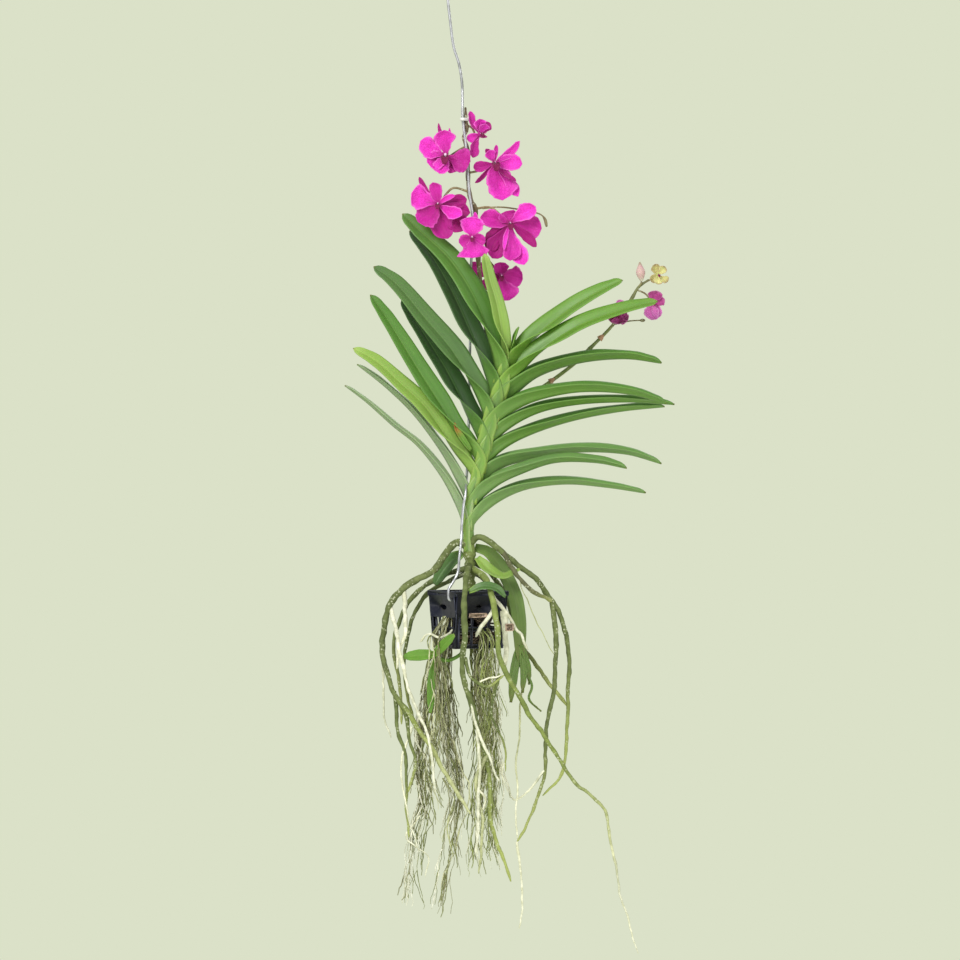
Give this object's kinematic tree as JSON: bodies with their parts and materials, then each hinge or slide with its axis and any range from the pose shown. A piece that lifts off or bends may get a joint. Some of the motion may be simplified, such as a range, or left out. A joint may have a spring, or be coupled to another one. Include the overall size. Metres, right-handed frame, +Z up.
{
  "type": "vanda orchid",
  "caption": "Hanging vanda orchid in a small slatted basket, with strap leaves in a fan, a magenta flower spike and long bare roots, hung from a wire hook.",
  "frame": {"origin": "inner top of the wire's hook, where it rests on what it hangs from", "axes": "+Z up, X across the leaf fan, front of the plant towards -Y"},
  "size_m": [0.2479, 0.0823, 0.7741],
  "materials": {
    "leaf": "smooth, slightly waxy green blade",
    "old_leaf": "old green blade with browned, frayed ends",
    "stem_and_root": "olive green, matt, with pale dry skin",
    "fine_root": "matt brown-green fine roots and bark",
    "flower_spike": "smooth green-brown flower stalk",
    "petal": "soft magenta petal with darker veins",
    "young_petal": "pale pink to yellow-green young petal",
    "basket_plastic": "moulded black plastic",
    "wire": "galvanised wire",
    "tie_plastic": "small white clip"
  },
  "bodies": {
    "root": {"stem_and_roots": "stem_and_root", "root_ball": "fine_root", "leaf_left_1": "leaf", "leaf_left_2": "leaf", "leaf_left_3": "leaf", "leaf_left_4": "leaf", "leaf_left_5": "leaf", "leaf_left_6": "leaf", "leaf_left_7": "leaf", "leaf_left_8": "leaf", "leaf_top_left": "leaf", "leaf_top_right": "leaf", "leaf_right_1": "leaf", "leaf_right_2": "leaf", "leaf_right_3": "leaf", "leaf_right_4": "leaf", "leaf_right_5": "leaf", "leaf_right_6": "leaf", "leaf_right_7": "leaf", "leaf_right_8": "leaf", "leaf_right_9": "leaf", "old_leaf_right": "old_leaf", "old_leaf_short": "old_leaf", "old_leaf_left": "old_leaf", "basket_shoot": "leaf", "main_spike": "flower_spike", "second_spike": "flower_spike", "bloom_upper_left": "petal", "bloom_top": "petal", "bloom_upper_right": "petal", "bloom_left": "petal", "bloom_middle": "petal", "bloom_right": "petal", "bloom_lower": "petal", "young_bloom_end": "young_petal", "young_bloom_right": "petal", "young_bloom_left": "petal", "young_bud": "young_petal", "basket": "basket_plastic", "hanger_wire": "wire", "wire_hook": "wire", "spike_tie": "tie_plastic"}
  },
  "joints": []
}
